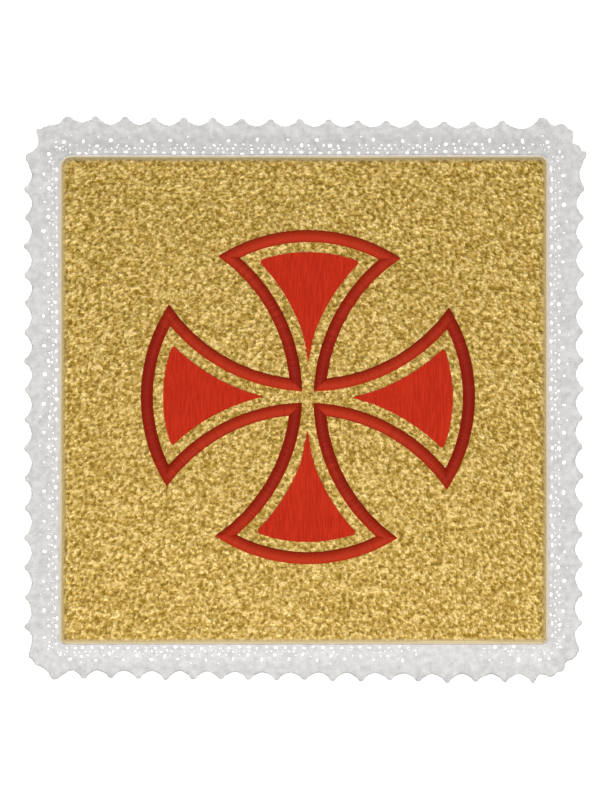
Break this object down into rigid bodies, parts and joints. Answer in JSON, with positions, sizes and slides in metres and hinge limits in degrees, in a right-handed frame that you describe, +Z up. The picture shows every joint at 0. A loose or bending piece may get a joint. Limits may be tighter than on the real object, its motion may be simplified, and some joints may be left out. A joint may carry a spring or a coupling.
{
  "type": "chalice pall",
  "caption": "Stiff square chalice pall of gold metallic cloth, embroidered with a red cross pattée and edged all round with toothed white lace.",
  "frame": {"origin": "the centre of the panel's underside, on the surface that it lies on", "axes": "+Z up out of the worked face, +Y towards the top of the cross, +X to the right as the face is looked at"},
  "size_m": [0.1742, 0.1754, 0.0043],
  "materials": {
    "gold_cloth": "crinkled metallic lamé",
    "white_lace": "matt cotton lace",
    "crimson_satin_stitch": "glossy satin stitch",
    "scarlet_fill_stitch": "flat fill stitch"
  },
  "bodies": {
    "root": {"panel": "gold_cloth", "lace_edging": "white_lace", "cross_border": "crimson_satin_stitch", "cross_field_top": "scarlet_fill_stitch", "cross_field_right": "scarlet_fill_stitch", "cross_field_bottom": "scarlet_fill_stitch", "cross_field_left": "scarlet_fill_stitch"}
  },
  "joints": []
}
